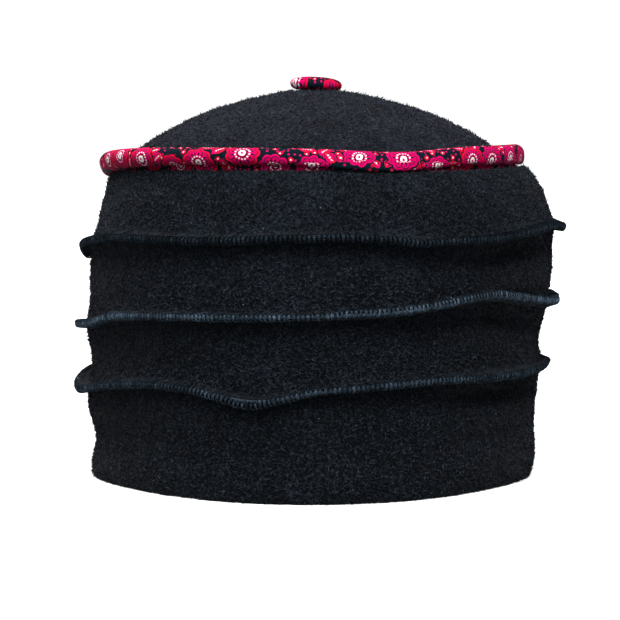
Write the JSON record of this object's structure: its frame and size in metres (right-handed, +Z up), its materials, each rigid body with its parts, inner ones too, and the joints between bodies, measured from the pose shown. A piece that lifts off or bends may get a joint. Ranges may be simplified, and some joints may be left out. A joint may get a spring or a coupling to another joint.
{
  "type": "fleece beanie",
  "caption": "Soft pillbox-shaped fleece hat with stacked tiers, wavy overlocked ridges, a printed piping round a shallow crown and a flat covered button on top.",
  "frame": {"origin": "on the surface the hat stands on, under the middle of its box", "axes": "+Z up through the crown, -Y towards the front that the picture shows, +X towards the right-hand side of that view"},
  "size_m": [0.1902, 0.2058, 0.1542],
  "materials": {
    "band_fleece": "near-black blue-charcoal fleece with a short matt pile",
    "crown_fleece": "near-black charcoal fleece, a little lighter, short matt pile",
    "overlock_thread": "navy-charcoal overlock thread, satin",
    "printed_cotton": "plain-woven cotton printed in magenta, red, near-black and white"
  },
  "bodies": {
    "root": {"crown": "crown_fleece", "piping": "printed_cotton", "tier_top": "band_fleece", "tier_upper": "band_fleece", "tier_lower": "band_fleece", "tier_hem": "band_fleece", "edging_1": "overlock_thread", "edging_2": "overlock_thread", "edging_3": "overlock_thread", "button": "printed_cotton"}
  },
  "joints": []
}
